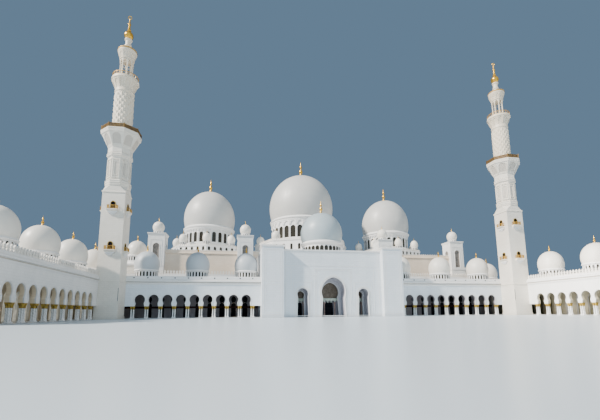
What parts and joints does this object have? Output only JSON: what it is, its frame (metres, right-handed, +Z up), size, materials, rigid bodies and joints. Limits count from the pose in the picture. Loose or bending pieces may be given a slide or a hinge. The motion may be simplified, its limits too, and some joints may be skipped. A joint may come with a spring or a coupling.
{
  "type": "white marble mosque building, scale model 1:10",
  "caption": "Domed mosque seen from its courtyard: portal, prayer hall with great domes, horseshoe arcades with small domes, and slender minarets.",
  "frame": {"origin": "middle of the building's footprint, at ground level", "axes": "+X to the right as seen from the courtyard, +Y into the building, +Z up"},
  "size_m": [17.6, 15.37, 10.6],
  "materials": {
    "white_marble": "honed white marble cladding in fine courses",
    "dome_marble": "smooth white marble, faintly coursed",
    "floor_marble": "polished pale marble, columns with fine inlay",
    "gilding": "gilded metal",
    "dark_glass": "dark glazing and door leaves",
    "carved_marble": "carved white marble parapets and bands"
  },
  "bodies": {
    "root": {"left_front_arcade": "white_marble", "right_front_arcade": "white_marble", "left_front_floor": "floor_marble", "right_front_floor": "floor_marble", "left_front_back_wall": "white_marble", "right_front_back_wall": "white_marble", "left_front_roof": "dome_marble", "right_front_roof": "dome_marble", "left_side_arcade": "white_marble", "right_side_arcade": "white_marble", "left_side_floor": "floor_marble", "right_side_floor": "floor_marble", "left_side_outer_wall": "white_marble", "right_side_outer_wall": "white_marble", "left_side_roof": "dome_marble", "right_side_roof": "dome_marble", "left_minaret_shaft": "white_marble", "right_minaret_shaft": "white_marble", "left_minaret_gallery": "white_marble", "right_minaret_gallery": "white_marble", "left_minaret_finial": "gilding", "right_minaret_finial": "gilding", "left_annex": "white_marble", "right_annex": "white_marble", "hall_front_wall_left": "white_marble", "hall_front_wall_centre": "white_marble", "hall_front_wall_right": "white_marble", "hall_left_wall": "white_marble", "hall_right_wall": "white_marble", "hall_back_wall": "white_marble", "hall_floor": "floor_marble", "hall_roof": "white_marble", "left_outer_tower": "white_marble", "right_outer_tower": "white_marble", "left_inner_tower": "white_marble", "right_inner_tower": "white_marble", "left_back_tower": "white_marble", "right_back_tower": "white_marble", "main_dome_podium": "white_marble", "left_dome_podium": "white_marble", "right_dome_podium": "white_marble", "main_dome_drum": "white_marble", "left_dome_drum": "white_marble", "right_dome_drum": "white_marble", "main_dome": "dome_marble", "left_dome": "dome_marble", "right_dome": "dome_marble", "main_dome_finial": "gilding", "left_dome_finial": "gilding", "right_dome_finial": "gilding", "portal_front_wall": "white_marble", "portal_screen": "white_marble", "portal_left_pier": "white_marble", "portal_right_pier": "white_marble", "portal_roof": "white_marble", "portal_dome": "dome_marble", "portal_dome_finial": "gilding", "portal_floor": "floor_marble"}
  },
  "joints": []
}
